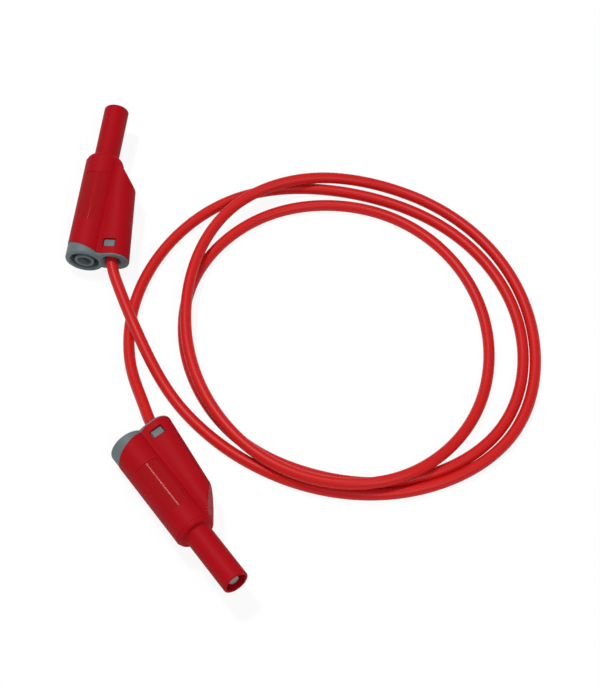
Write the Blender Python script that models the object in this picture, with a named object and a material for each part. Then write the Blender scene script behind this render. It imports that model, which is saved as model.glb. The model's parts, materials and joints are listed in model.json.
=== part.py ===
"""Red test lead: two stacking 4 mm safety plugs on one flexible cord.

Each plug is drawn once, in its own frame: x runs along the plug from the mouth of its sleeve to its rear
face, y points from the barrel to the cord's lobe, and z is square to both. The two plugs then lie on the
floor, z = 0, each on the rim of its rear cap with its mouth a little raised by the stiff cord, and the cord
runs from one to the other in two and a half loose loops.
"""

import math

import bmesh
import bpy
import numpy as np
from mathutils import Euler, Vector

# Clearance between pieces that touch, the overrun of a cutter past the face it cuts, and the weld of points
GAP = 0.0003
OVER = 0.0006
WELD = 1e-6

# Facets round a full turn
BARREL_SEGMENTS = 36
FITTING_SEGMENTS = 24
CONTACT_SEGMENTS = 20
ARC_STEPS = 4

# Sleeve and barrel of the housing
PLUG_LENGTH = 0.0590
SLEEVE_LENGTH = 0.0202
SLEEVE_RADIUS = 0.0041
SLEEVE_BORE_RADIUS = 0.00325
SLEEVE_RIM = 0.0004
NECK_FILLET = 0.0006
BARREL_RADIUS = 0.00635
SHOULDER_RADIUS = 0.0014
SHOULDER_STEP = 0.00025

# Lobe that takes the cord, beside the barrel
LOBE_HALF_HEIGHT = 0.00485
VALLEY_HEIGHT = 0.0040
LOBE_REACH_FRONT = 0.0122
LOBE_REACH_REAR = 0.0150
RAMP_LENGTH = 0.0111
RAMP_ANGLE = math.radians(34.7)
RAMP_EDGE = 0.0004
LOBE_WALL = 0.0011

# Recessed panel on the barrel, above and below
PANEL_START = 0.0081
PANEL_LENGTH = 0.0181
PANEL_WIDTH = 0.0069
PANEL_DEPTH = 0.00025

# Web that holds the pin, and the cavity behind it, which begins a little before the pin's stem
PIN_WEB = 0.0025
CAVITY_LEAD = 0.0008
CAVITY_RADIUS = 0.00545
CAVITY_ROOT = 0.0030

# Joint between housing and rear cap: straight across the lobe, and leaning forward over the barrel
CAP_LIP = 0.0006
LOBE_SETBACK = 0.0002
PARTING_BEND = 0.0066
PARTING_LEAN = math.radians(18.3)

# Rear cap
CAP_RADIUS = 0.00625
CAP_EDGE = 0.0006
CAP_LOBE_EDGE = 0.0004
GROOVE_SPARE = 0.0005
GROOVE_RADIUS = 0.0047
GROOVE_FLOOR = 0.0010
POST_RADIUS = 0.0032
POST_BORE_RADIUS = 0.00225
MOUTH_CHAMFER = 0.0003
BLOCK_LENGTH = 0.0070
BLOCK_ROOT = 0.0049
CORD_OFFSET = 0.0091
BELL_RADIUS = 0.0035
BELL_LENGTH = 0.0048

# Snap tabs and their windows
WINDOW_LENGTH = 0.0030
WINDOW_WIDTH = 0.0042
WINDOW_FROM_REAR = 0.0032
WINDOW_CENTRE = 0.0088
TAB_RECESS = 0.0005

# Contact pin with its lamella cage
PIN_RADIUS = 0.0020
PIN_RECESS = 0.0009
PIN_NOSE = 0.0009
FLANGE_RADIUS = 0.0029
FLANGE_CHAMFER = 0.0004
STEM_RADIUS = 0.0025
STEM_LENGTH = 0.0012
SPIGOT_RADIUS = 0.0015
SPIGOT_LENGTH = 0.0025
WAIST_START = 0.0060
WAIST_LENGTH = 0.0090
WAIST_RADIUS = 0.0016
CAGE_WALL = 0.0002
CAGE_BULGE = 0.0002
CAGE_BAND = 0.0009
CAGE_SLOT = 0.0004
CAGE_SLOT_PAIRS = 5

# Socket behind the ring post
SOCKET_BORE_RADIUS = 0.0020
SOCKET_WALL = 0.0004
SOCKET_SPARE = 0.0010
SOCKET_FLOOR = 0.0012
SOCKET_SETBACK = 0.0030

# Terminal strap, from the pin's spigot to the cord's crimp
STRAP_THICKNESS = 0.0008
STRAP_WIDTH = 0.0026
STRAP_EYE_RADIUS = 0.0033
STRAP_BEND = 0.0035
CRIMP_LENGTH = 0.0045
CRIMP_WALL = 0.00035
CRIMP_SLIT = 0.0005

# Cord, its stripped end and the crimp ring on its jacket
CORD_RADIUS = 0.00182
STRANDS_RADIUS = 0.0010
STRANDS_BARE = 0.0004
STRANDS_GROOVE = 0.00012
STRAND_COUNT = 6
STRANDS_TWIST = math.radians(100)
RING_WALL = 0.0004
RING_LENGTH = 0.0030
JACKET_PROUD = 0.0005
RING_BEAD = 0.0002

# Where the plugs lie: the middle of each mouth seen from above, the way the plug points, its roll and its pitch
PLUG_A_MOUTH = (-0.01656, 0.08742)
PLUG_A_HEADING = math.radians(-97.568)
PLUG_A_ROLL = math.radians(9.01)
PLUG_A_PITCH = math.radians(4.11)
PLUG_B_MOUTH = (0.02723, -0.08574)
PLUG_B_HEADING = math.radians(125.241)
PLUG_B_ROLL = math.radians(174.36)
PLUG_B_PITCH = math.radians(6.14)

# The cord's route between the plugs, from plug A to plug B, chosen by hand
CORD_ROUTE = (
    (-0.01397, 0.03868, 0.00840),
    (-0.01449, 0.03472, 0.00812),
    (-0.01523, 0.02919, 0.00771),
    (-0.0132, 0.0206, 0.0067),
    (-0.0061, 0.0030, 0.0056),
    (0.0047, -0.0173, 0.0023),
    (0.0259, -0.0390, CORD_RADIUS),
    (0.0484, -0.0498, CORD_RADIUS),
    (0.0778, -0.0514, CORD_RADIUS),
    (0.1098, -0.0332, CORD_RADIUS),
    (0.1187, 0.0104, CORD_RADIUS),
    (0.0987, 0.0473, CORD_RADIUS),
    (0.0667, 0.0634, 0.0028),
    (0.0474, 0.0628, 0.0054),
    (0.0254, 0.0527, 0.0059),
    (0.0092, 0.0138, 0.0057),
    (0.0173, -0.0223, 0.0058),
    (0.0333, -0.0412, 0.0058),
    (0.0544, -0.0502, 0.0058),
    (0.0754, -0.0486, 0.0058),
    (0.0900, -0.0389, 0.0044),
    (0.1032, -0.0155, CORD_RADIUS),
    (0.1004, 0.0229, CORD_RADIUS),
    (0.0743, 0.0501, CORD_RADIUS),
    (0.0359, 0.0508, CORD_RADIUS),
    (0.0109, 0.0241, CORD_RADIUS),
    (0.0130, -0.0143, CORD_RADIUS),
    (0.0288, -0.0353, CORD_RADIUS),
    (0.0491, -0.0456, CORD_RADIUS),
    (0.0762, -0.0479, CORD_RADIUS),
    (0.1064, -0.0310, CORD_RADIUS),
    (0.1148, 0.0099, CORD_RADIUS),
    (0.0953, 0.0435, CORD_RADIUS),
    (0.0659, 0.0585, CORD_RADIUS),
    (0.0241, 0.0572, CORD_RADIUS),
    (-0.0062, 0.0213, CORD_RADIUS),
    (-0.0070, -0.0106, 0.0029),
    (-0.0027, -0.0233, 0.0050),
    (0.00152, -0.03366, 0.00719),
    (0.00473, -0.03821, 0.00779),
    (0.00703, -0.04146, 0.00822),
)
CORD_STEP = 0.0150

# Places along the plug that several pieces share. The groove and the bore take another plug's sleeve and pin.
COLLAR = SLEEVE_LENGTH
LOBE_FRONT = COLLAR + SHOULDER_RADIUS + SHOULDER_STEP
RAMP_END = COLLAR + RAMP_LENGTH
GROOVE_FRONT = PLUG_LENGTH - SLEEVE_LENGTH - GROOVE_SPARE
SOCKET_BORE_FRONT = PLUG_LENGTH - SLEEVE_LENGTH - SOCKET_SPARE
FLANGE_FRONT = COLLAR + PIN_WEB
SPIGOT_REAR = SOCKET_BORE_FRONT - SOCKET_FLOOR - GAP
SPIGOT_FRONT = SPIGOT_REAR - SPIGOT_LENGTH
STEM_FRONT = SPIGOT_FRONT - STEM_LENGTH
CAVITY_FRONT = STEM_FRONT - CAVITY_LEAD
STRAP_FRONT = SPIGOT_FRONT + GAP
SOCKET_FRONT = STRAP_FRONT + STRAP_THICKNESS + GAP
LOBE_REAR = PLUG_LENGTH - LOBE_SETBACK
PARTING = LOBE_REAR - CAP_LIP
PARTING_FRONT = PARTING - (PARTING_BEND + BARREL_RADIUS + OVER) * math.tan(PARTING_LEAN)
BLOCK_FRONT = LOBE_REAR - BLOCK_LENGTH
RING_FRONT = BLOCK_FRONT - GAP - RING_LENGTH
STRANDS_REAR = RING_FRONT - JACKET_PROUD - GAP
CRIMP_REAR = STRANDS_REAR - STRANDS_BARE
CRIMP_FRONT = CRIMP_REAR - CRIMP_LENGTH
STRANDS_FRONT = CRIMP_FRONT - GAP


def clear_scene():
    """Remove the objects that a new file holds."""
    for obj in list(bpy.data.objects):
        bpy.data.objects.remove(obj, do_unlink=True)


def linear(channel):
    """Convert one sRGB channel from 0..255 to linear light."""
    value = channel / 255.0
    if value <= 0.04045:
        return value / 12.92
    return ((value + 0.055) / 1.055) ** 2.4


def make_material(name, rgb, roughness, metallic=0.0):
    """Make a plain Principled material from an sRGB colour."""
    mat = bpy.data.materials.new(name)
    mat.use_nodes = True
    shader = mat.node_tree.nodes["Principled BSDF"]
    colour = [linear(channel) for channel in rgb]
    shader.inputs["Base Color"].default_value = (*colour, 1.0)
    shader.inputs["Roughness"].default_value = roughness
    shader.inputs["Metallic"].default_value = metallic
    mat.diffuse_color = (*colour, 1.0)
    return mat


def arc(centre, radius, start, end, steps=ARC_STEPS):
    """Points along an arc in a plane, its angles given in degrees."""
    angles = [math.radians(start + (end - start) * i / steps) for i in range(steps + 1)]
    return [(centre[0] + radius * math.cos(t), centre[1] + radius * math.sin(t)) for t in angles]


def finish_mesh(bm, name):
    """Turn every face outward and store the mesh."""
    bmesh.ops.recalc_face_normals(bm, faces=bm.faces)
    mesh = bpy.data.meshes.new(name)
    bm.to_mesh(mesh)
    bm.free()
    return mesh


def turned(name, profile, segments, axis_offset=0.0):
    """Spin a closed profile of (x, radius) points about the plug's axis, or one beside it."""
    bm = bmesh.new()
    verts = [bm.verts.new((x, 0.0, radius)) for x, radius in profile]
    edges = []
    for start, end in zip(verts, verts[1:] + verts[:1]):
        on_axis = start.co.z == 0.0 and end.co.z == 0.0
        if not on_axis:
            edges.append(bm.edges.new((start, end)))
    bmesh.ops.spin(
        bm,
        geom=verts + edges,
        cent=(0.0, 0.0, 0.0),
        axis=(1.0, 0.0, 0.0),
        angle=2.0 * math.pi,
        steps=segments,
        use_merge=True,
    )
    bmesh.ops.remove_doubles(bm, verts=bm.verts, dist=WELD)
    bmesh.ops.translate(bm, verts=bm.verts, vec=(0.0, axis_offset, 0.0))
    return finish_mesh(bm, name)


def extruded(name, outline, low, high):
    """Extrude an outline of (x, y) points from z = low to z = high."""
    bm = bmesh.new()
    face = bm.faces.new([bm.verts.new((x, y, low)) for x, y in outline])
    moved = bmesh.ops.extrude_face_region(bm, geom=[face])["geom"]
    top = [item for item in moved if isinstance(item, bmesh.types.BMVert)]
    bmesh.ops.translate(bm, verts=top, vec=(0.0, 0.0, high - low))
    return finish_mesh(bm, name)


def lofted(name, sections):
    """Skin a row of closed sections of (x, y, z) points and close both ends."""
    bm = bmesh.new()
    rings = [[bm.verts.new(point) for point in section] for section in sections]
    count = len(rings[0])
    for near, far in zip(rings, rings[1:]):
        for i in range(count):
            j = (i + 1) % count
            bm.faces.new((near[i], near[j], far[j], far[i]))
    bm.faces.new(rings[0])
    bm.faces.new(rings[-1])
    return finish_mesh(bm, name)


def block(name, low, high):
    """A rectangular block between two opposite corners."""
    outline = [(low[0], low[1]), (high[0], low[1]), (high[0], high[1]), (low[0], high[1])]
    return extruded(name, outline, low[2], high[2])


def evaluated(obj, name):
    """The mesh of an object with its modifiers, in place of the object."""
    graph = bpy.context.evaluated_depsgraph_get()
    mesh = bpy.data.meshes.new_from_object(obj.evaluated_get(graph))
    mesh.name = name
    bpy.data.objects.remove(obj, do_unlink=True)
    return mesh


def combine(body, tool, operation):
    """Join, cut or intersect a mesh with another by an exact Boolean."""
    base = bpy.data.objects.new("base", body)
    other = bpy.data.objects.new("tool", tool)
    for obj in (base, other):
        bpy.context.scene.collection.objects.link(obj)
    modifier = base.modifiers.new("combine", "BOOLEAN")
    modifier.operation = operation
    modifier.solver = "EXACT"
    modifier.object = other
    mesh = evaluated(base, body.name)
    bpy.data.objects.remove(other, do_unlink=True)
    bm = bmesh.new()
    bm.from_mesh(mesh)
    bmesh.ops.remove_doubles(bm, verts=bm.verts, dist=WELD)
    bmesh.ops.dissolve_degenerate(bm, edges=bm.edges, dist=WELD)
    return finish_mesh(bm, mesh.name)


def union(body, *tools):
    """Join each tool to the body."""
    for tool in tools:
        body = combine(body, tool, "UNION")
    return body


def cut(body, *tools):
    """Cut each tool out of the body."""
    for tool in tools:
        body = combine(body, tool, "DIFFERENCE")
    return body


def rounded_edges(mesh, width, limit):
    """Bevel the edges that turn by more than the limit."""
    obj = bpy.data.objects.new("bevelled", mesh)
    bpy.context.scene.collection.objects.link(obj)
    bevel = obj.modifiers.new("bevel", "BEVEL")
    bevel.width = width
    bevel.segments = 2
    bevel.limit_method = "ANGLE"
    bevel.angle_limit = limit
    return evaluated(obj, mesh.name)


def lobe_reach(x):
    """How far the lobe reaches from the plug's axis; behind the oblique face it flares toward the rear."""
    share = max(x - RAMP_END, 0.0) / (LOBE_REAR - RAMP_END)
    return LOBE_REACH_FRONT + (LOBE_REACH_REAR - LOBE_REACH_FRONT) * share


def lobe_section(x, inset=0.0, root=None):
    """Section across the lobe: gently crowned above and below, round outside.

    The crown rises from the valley beside the barrel. Without a root the section starts inside the barrel.
    """
    half = LOBE_HALF_HEIGHT - inset
    low = VALLEY_HEIGHT - inset
    apex = lobe_reach(x) - inset - half
    outer = arc((apex, 0.0), half, 90, -90, 3 * ARC_STEPS)
    valley = math.sqrt((BARREL_RADIUS - inset) ** 2 - low ** 2)
    radius = ((apex - valley) ** 2 + (half - low) ** 2) / (2 * (half - low))
    begin = valley - OVER if root is None else root
    sweep = math.degrees(math.asin((apex - begin) / radius))
    side = arc((apex, half - radius), radius, 90 + sweep, 90)[:-1]
    if root is None:
        side = [(0.0, side[0][1])] + side
    upper = side + outer[:-1]
    lower = [outer[-1]] + [(y, -z) for y, z in reversed(side)]
    return [(x, y, z) for y, z in upper + lower]


def housing_profile():
    """Outer profile of sleeve and barrel, then back along the axis."""
    step = BARREL_RADIUS - SHOULDER_STEP
    corner = step - SHOULDER_RADIUS
    rim = (SLEEVE_RIM, SLEEVE_RADIUS - SLEEVE_RIM)
    neck = (COLLAR - NECK_FILLET, SLEEVE_RADIUS + NECK_FILLET)
    shoulder = (COLLAR + SHOULDER_RADIUS, corner)
    profile = [(0.0, 0.0)]
    profile += arc(rim, SLEEVE_RIM, 180, 90, 3)
    profile += arc(neck, NECK_FILLET, 270, 360, 3)
    profile += arc(shoulder, SHOULDER_RADIUS, 180, 90, ARC_STEPS)
    profile += [(shoulder[0] + SHOULDER_STEP, BARREL_RADIUS)]
    profile += [(PLUG_LENGTH + OVER, BARREL_RADIUS), (PLUG_LENGTH + OVER, 0.0)]
    return profile


def behind_parting(clearance):
    """Outline of all that lies behind the joint between housing and rear cap."""
    side = BARREL_RADIUS + OVER
    reach = LOBE_REACH_REAR + OVER
    rear = PLUG_LENGTH + 2 * OVER
    bend = (PARTING + clearance, PARTING_BEND - clearance * math.tan(PARTING_LEAN / 2))
    front = (PARTING_FRONT + clearance / math.cos(PARTING_LEAN), -side)
    return [front, bend, (PARTING + clearance, reach), (rear, reach), (rear, -side)]


def lobe_loft(name, front, rear, inset=0.0, root=None):
    """Loft the lobe between two places, with a bend where its flare begins."""
    stations = sorted({front, max(front, RAMP_END), rear})
    return lofted(name, [lobe_section(x, inset, root) for x in stations])


def ramp_cutter(wall=0.0):
    """Wedge in front of the lobe's oblique face, or in front of the inside of its wall."""
    slope = math.tan(RAMP_ANGLE)
    front = COLLAR - SHOULDER_RADIUS
    rear = RAMP_END + SHOULDER_RADIUS
    inside = wall / math.cos(RAMP_ANGLE)
    reach = LOBE_REACH_FRONT + (rear - RAMP_END) * slope - inside
    low = LOBE_REACH_FRONT - (RAMP_END - front) * slope - inside
    height = LOBE_HALF_HEIGHT + OVER
    return extruded("ramp", [(front, low), (rear, reach), (front, reach)], -height, height)


def panel_cutter(side):
    """Shallow pocket over the barrel, with a floor that follows the barrel's curve."""
    start = COLLAR + PANEL_START
    floor = BARREL_RADIUS - PANEL_DEPTH
    shell = turned(
        "panel",
        [
            (start, floor),
            (start + PANEL_LENGTH, floor),
            (start + PANEL_LENGTH, BARREL_RADIUS + OVER),
            (start, BARREL_RADIUS + OVER),
        ],
        BARREL_SEGMENTS,
    )
    heights = sorted((side * LOBE_HALF_HEIGHT / 2, side * (BARREL_RADIUS + 2 * OVER)))
    window = block(
        "panel window",
        (start - OVER, -PANEL_WIDTH / 2, heights[0]),
        (start + PANEL_LENGTH + OVER, PANEL_WIDTH / 2, heights[1]),
    )
    return combine(shell, window, "INTERSECT")


def housing_bore():
    """Sleeve bore, pin bore, flange seat and the cavity behind them."""
    pin = PIN_RADIUS + GAP
    seat = FLANGE_RADIUS + GAP
    rear = PLUG_LENGTH + 2 * OVER
    return turned(
        "bore",
        [
            (-OVER, 0.0),
            (-OVER, SLEEVE_BORE_RADIUS + OVER),
            (SLEEVE_RIM / 2, SLEEVE_BORE_RADIUS),
            (COLLAR, SLEEVE_BORE_RADIUS),
            (COLLAR, pin),
            (FLANGE_FRONT - GAP, pin),
            (FLANGE_FRONT - GAP, seat),
            (CAVITY_FRONT, seat),
            (CAVITY_FRONT, CAVITY_RADIUS),
            (rear, CAVITY_RADIUS),
            (rear, 0.0),
        ],
        FITTING_SEGMENTS,
    )


def make_housing():
    """Red moulding: sleeve, barrel and lobe in one, with two panels, two windows and its cavity."""
    rear = PLUG_LENGTH + OVER
    barrel = turned("housing", housing_profile(), BARREL_SEGMENTS)
    lobe = cut(lobe_loft("lobe", LOBE_FRONT, rear), ramp_cutter())
    lobe = rounded_edges(lobe, RAMP_EDGE, math.radians(28))
    cavity = lobe_loft("lobe cavity", CAVITY_FRONT, rear + OVER, LOBE_WALL, CAVITY_ROOT)
    window_rear = PLUG_LENGTH - WINDOW_FROM_REAR
    height = LOBE_HALF_HEIGHT + OVER
    window = block(
        "window",
        (window_rear - WINDOW_LENGTH, WINDOW_CENTRE - WINDOW_WIDTH / 2, -height),
        (window_rear, WINDOW_CENTRE + WINDOW_WIDTH / 2, height),
    )
    body = union(barrel, lobe)
    parting = extruded("parting", behind_parting(0.0), -BARREL_RADIUS - OVER, BARREL_RADIUS + OVER)
    body = cut(body, parting, panel_cutter(1), panel_cutter(-1))
    return cut(body, housing_bore(), cut(cavity, ramp_cutter(LOBE_WALL)), window)


def cap_shell():
    """Outer form of the rear cap: a round-edged disc and the end of the lobe."""
    front = PARTING_FRONT
    edge = (PLUG_LENGTH - CAP_EDGE, CAP_RADIUS - CAP_EDGE)
    disc = [(front, 0.0), (front, CAP_RADIUS)]
    disc += list(reversed(arc(edge, CAP_EDGE, 0, 90, 3)))
    disc += [(PLUG_LENGTH, 0.0)]
    sections = [lobe_section(front, BARREL_RADIUS - CAP_RADIUS)]
    for turn in (0, 45, 90):
        angle = math.radians(turn)
        x = LOBE_REAR - CAP_LOBE_EDGE * (1 - math.sin(angle))
        inset = BARREL_RADIUS - CAP_RADIUS + CAP_LOBE_EDGE * (1 - math.cos(angle))
        sections.append(lobe_section(x, inset))
    shell = union(turned("rear_cap", disc, BARREL_SEGMENTS), lofted("cap lobe", sections))
    rear = extruded("rear", behind_parting(GAP), -BARREL_RADIUS - OVER, BARREL_RADIUS + OVER)
    return combine(shell, rear, "INTERSECT")


def socket_cutter():
    """Bore for the socket, wider inside where the contact tube sits."""
    rear = PLUG_LENGTH + OVER
    pocket = SOCKET_BORE_RADIUS + SOCKET_WALL + GAP
    seat = PLUG_LENGTH - SOCKET_SETBACK + GAP
    front = GROOVE_FRONT - GROOVE_FLOOR - OVER
    return turned(
        "socket bore",
        [
            (front, 0.0),
            (front, pocket),
            (seat, pocket),
            (seat, POST_BORE_RADIUS),
            (PLUG_LENGTH - MOUTH_CHAMFER, POST_BORE_RADIUS),
            (rear, POST_BORE_RADIUS + MOUTH_CHAMFER + OVER),
            (rear, 0.0),
        ],
        FITTING_SEGMENTS,
    )


def groove_cutter():
    """Ring groove that another plug's sleeve enters."""
    rear = PLUG_LENGTH + OVER
    return turned(
        "groove",
        [
            (GROOVE_FRONT, POST_RADIUS),
            (GROOVE_FRONT, GROOVE_RADIUS),
            (PLUG_LENGTH - MOUTH_CHAMFER, GROOVE_RADIUS),
            (rear, GROOVE_RADIUS + MOUTH_CHAMFER + OVER),
            (rear, POST_RADIUS - MOUTH_CHAMFER - OVER),
            (PLUG_LENGTH - MOUTH_CHAMFER, POST_RADIUS),
        ],
        FITTING_SEGMENTS,
    )


def bell_cutter():
    """Bell mouth that lets the cord bend as it leaves."""
    throat = CORD_RADIUS + GAP
    start = LOBE_REAR - BELL_LENGTH
    flare = []
    for i in range(ARC_STEPS + 1):
        angle = math.radians(90 * i / ARC_STEPS)
        x = start + BELL_LENGTH * math.sin(angle)
        flare.append((x, throat + (BELL_RADIUS - throat) * (1 - math.cos(angle))))
    profile = [(BLOCK_FRONT - OVER, 0.0), (BLOCK_FRONT - OVER, throat)] + flare
    profile += [(LOBE_REAR + 2 * OVER, BELL_RADIUS), (LOBE_REAR + 2 * OVER, 0.0)]
    return turned("bell", profile, FITTING_SEGMENTS, CORD_OFFSET)


def make_rear_cap():
    """Grey moulding that closes the plug: socket guard, cord mouth and two snap tabs."""
    inner = LOBE_WALL + GAP
    wall = CAVITY_RADIUS - GAP
    front = GROOVE_FRONT - GROOVE_FLOOR
    back = PARTING + CAP_LIP
    guard = turned("guard", [(front, 0.0), (front, wall), (back, wall), (back, 0.0)], FITTING_SEGMENTS)
    insert = lobe_loft("insert", BLOCK_FRONT, back, inner, BLOCK_ROOT)
    tab_rear = PLUG_LENGTH - WINDOW_FROM_REAR - GAP
    tab_front = tab_rear - WINDOW_LENGTH + 2 * GAP
    half_width = WINDOW_WIDTH / 2 - GAP
    height = LOBE_HALF_HEIGHT - TAB_RECESS
    tabs = block(
        "tabs",
        (tab_front, WINDOW_CENTRE - half_width, -height),
        (tab_rear, WINDOW_CENTRE + half_width, height),
    )
    body = union(cap_shell(), guard, insert, tabs)
    return cut(body, groove_cutter(), socket_cutter(), bell_cutter())


def make_contact_pin():
    """Turned pin: round nose, waist for the cage, flange, stem and rear spigot."""
    nose = (PIN_RECESS + PIN_NOSE, PIN_RADIUS - PIN_NOSE)
    profile = [(PIN_RECESS, 0.0)] + arc(nose, PIN_NOSE, 180, 90, 3)
    profile += [
        (WAIST_START, PIN_RADIUS),
        (WAIST_START, WAIST_RADIUS),
        (WAIST_START + WAIST_LENGTH, WAIST_RADIUS),
        (WAIST_START + WAIST_LENGTH, PIN_RADIUS),
        (FLANGE_FRONT, PIN_RADIUS),
        (FLANGE_FRONT, FLANGE_RADIUS - FLANGE_CHAMFER),
        (FLANGE_FRONT + FLANGE_CHAMFER, FLANGE_RADIUS),
        (STEM_FRONT - FLANGE_CHAMFER, FLANGE_RADIUS),
        (STEM_FRONT, FLANGE_RADIUS - FLANGE_CHAMFER),
        (STEM_FRONT, STEM_RADIUS),
        (SPIGOT_FRONT, STEM_RADIUS),
        (SPIGOT_FRONT, SPIGOT_RADIUS),
        (SPIGOT_REAR, SPIGOT_RADIUS),
        (SPIGOT_REAR, 0.0),
    ]
    return turned("contact_pin", profile, CONTACT_SEGMENTS)


def make_lamella_cage():
    """Sprung sleeve in the pin's waist: two bands joined by strips that bow outward."""
    front = WAIST_START + GAP
    rear = WAIST_START + WAIST_LENGTH - GAP
    inner = WAIST_RADIUS + GAP
    stations = np.linspace(front, rear, ARC_STEPS + 1)
    bow = [inner + CAGE_BULGE * math.sin(math.pi * (x - front) / (rear - front)) for x in stations]
    inside = [(float(x), radius) for x, radius in zip(stations, bow)]
    outside = [(x, radius + CAGE_WALL) for x, radius in reversed(inside)]
    cage = turned("lamella_cage", inside + outside, CONTACT_SEGMENTS)
    reach = inner + CAGE_BULGE + CAGE_WALL + OVER
    for i in range(CAGE_SLOT_PAIRS):
        slot = block(
            "slot",
            (front + CAGE_BAND, -CAGE_SLOT / 2, -reach),
            (rear - CAGE_BAND, CAGE_SLOT / 2, reach),
        )
        turn = Euler((math.pi * (i + 0.5) / CAGE_SLOT_PAIRS, 0.0, 0.0)).to_matrix().to_4x4()
        slot.transform(turn)
        cage = cut(cage, slot)
    return cage


def make_socket_contact():
    """Turned tube with a 4 mm bore; its front pocket is pressed on the pin's spigot."""
    outer = SOCKET_BORE_RADIUS + SOCKET_WALL
    rear = PLUG_LENGTH - SOCKET_SETBACK
    pocket = SPIGOT_RADIUS + GAP
    return turned(
        "socket_contact",
        [
            (SOCKET_FRONT, pocket),
            (SOCKET_FRONT, outer),
            (rear, outer),
            (rear, SOCKET_BORE_RADIUS),
            (SOCKET_BORE_FRONT + SOCKET_BORE_RADIUS / 2, SOCKET_BORE_RADIUS),
            (SOCKET_BORE_FRONT, 0.0),
            (SPIGOT_REAR + GAP, 0.0),
            (SPIGOT_REAR + GAP, pocket),
        ],
        CONTACT_SEGMENTS,
    )


def make_terminal_strap():
    """Stamped strap: an eye on the spigot, a bent tongue and a rolled crimp for the strands."""
    barrel = STRANDS_RADIUS + GAP
    inner_side = CORD_OFFSET - barrel - CRIMP_WALL
    bend = (STRAP_FRONT + STRAP_THICKNESS + STRAP_BEND, inner_side - STRAP_BEND)
    outer_radius = STRAP_BEND + STRAP_THICKNESS
    outline = [(STRAP_FRONT + STRAP_THICKNESS, STRAP_EYE_RADIUS / 2)]
    outline += arc(bend, STRAP_BEND, 180, 90)
    outline += [(CRIMP_REAR, inner_side), (CRIMP_REAR, inner_side + STRAP_THICKNESS)]
    outline += arc(bend, outer_radius, 90, 180)
    outline += [(STRAP_FRONT, STRAP_EYE_RADIUS / 2)]
    tongue = extruded("terminal_strap", outline, -STRAP_WIDTH / 2, STRAP_WIDTH / 2)
    eye = turned(
        "eye",
        [
            (STRAP_FRONT, 0.0),
            (STRAP_FRONT, STRAP_EYE_RADIUS),
            (STRAP_FRONT + STRAP_THICKNESS, STRAP_EYE_RADIUS),
            (STRAP_FRONT + STRAP_THICKNESS, 0.0),
        ],
        CONTACT_SEGMENTS,
    )
    crimp = turned(
        "crimp",
        [
            (CRIMP_FRONT, 0.0),
            (CRIMP_FRONT, barrel + CRIMP_WALL),
            (CRIMP_REAR, barrel + CRIMP_WALL),
            (CRIMP_REAR, 0.0),
        ],
        CONTACT_SEGMENTS,
        CORD_OFFSET,
    )
    hole = SPIGOT_RADIUS + GAP
    spigot = turned(
        "spigot hole",
        [
            (STRAP_FRONT - OVER, 0.0),
            (STRAP_FRONT - OVER, hole),
            (STRAP_FRONT + STRAP_THICKNESS + OVER, hole),
            (STRAP_FRONT + STRAP_THICKNESS + OVER, 0.0),
        ],
        CONTACT_SEGMENTS,
    )
    strands = turned(
        "strands hole",
        [
            (CRIMP_FRONT - OVER, 0.0),
            (CRIMP_FRONT - OVER, barrel),
            (CRIMP_REAR + OVER, barrel),
            (CRIMP_REAR + OVER, 0.0),
        ],
        CONTACT_SEGMENTS,
        CORD_OFFSET,
    )
    slit = block(
        "slit",
        (CRIMP_FRONT - OVER, CORD_OFFSET, -CRIMP_SLIT / 2),
        (CRIMP_REAR + OVER, CORD_OFFSET + barrel + CRIMP_WALL + OVER, CRIMP_SLIT / 2),
    )
    return cut(union(tongue, eye, crimp), spigot, strands, slit)


def make_conductor_end():
    """Stripped strands: a bundle of round wires, laid with a twist."""
    per_strand = 4
    count = STRAND_COUNT * per_strand
    sections = []
    for station in np.linspace(0.0, 1.0, ARC_STEPS + 1):
        ring = []
        for i in range(count):
            angle = 2 * math.pi * i / count
            dip = STRANDS_GROOVE * (1 - abs(math.sin(angle * STRAND_COUNT / 2)))
            radius = STRANDS_RADIUS - dip
            turn = angle + STRANDS_TWIST * station
            x = STRANDS_FRONT + (STRANDS_REAR - STRANDS_FRONT) * station
            ring.append((x, CORD_OFFSET + radius * math.cos(turn), radius * math.sin(turn)))
        sections.append(ring)
    return lofted("conductor_end", sections)


def make_strain_relief_ring():
    """Crimped ring on the jacket, with a bead at each end, that bears on the rear cap."""
    inner = CORD_RADIUS + GAP
    outer = inner + RING_WALL
    rear = RING_FRONT + RING_LENGTH
    return turned(
        "strain_relief_ring",
        [
            (RING_FRONT, inner),
            (RING_FRONT, outer + RING_BEAD),
            (RING_FRONT + RING_WALL, outer + RING_BEAD),
            (RING_FRONT + 2 * RING_WALL, outer),
            (rear - 2 * RING_WALL, outer),
            (rear - RING_WALL, outer + RING_BEAD),
            (rear, outer + RING_BEAD),
            (rear, inner),
        ],
        CONTACT_SEGMENTS,
        CORD_OFFSET,
    )


def natural_spline(points, step):
    """Points about a step apart on a smooth curve through the given ones: a natural cubic spline."""
    points = np.array(points)
    spans = np.linalg.norm(np.diff(points, axis=0), axis=1)
    count = len(points)
    system = np.eye(count)
    right = np.zeros_like(points)
    slopes = np.diff(points, axis=0) / spans[:, None]
    for i in range(1, count - 1):
        system[i, i - 1] = spans[i - 1]
        system[i, i] = 2 * (spans[i - 1] + spans[i])
        system[i, i + 1] = spans[i]
        right[i] = 6 * (slopes[i] - slopes[i - 1])
    bend = np.linalg.solve(system, right)
    curve = []
    for i, span in enumerate(spans):
        samples = max(1, round(span / step))
        for sample in range(samples):
            t = span * sample / samples
            left = bend[i] / 2
            cubic = (bend[i + 1] - bend[i]) / (6 * span)
            start = slopes[i] - span * (2 * bend[i] + bend[i + 1]) / 6
            curve.append(points[i] + start * t + left * t ** 2 + cubic * t ** 3)
    curve.append(points[-1])
    return np.array(curve)


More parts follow.
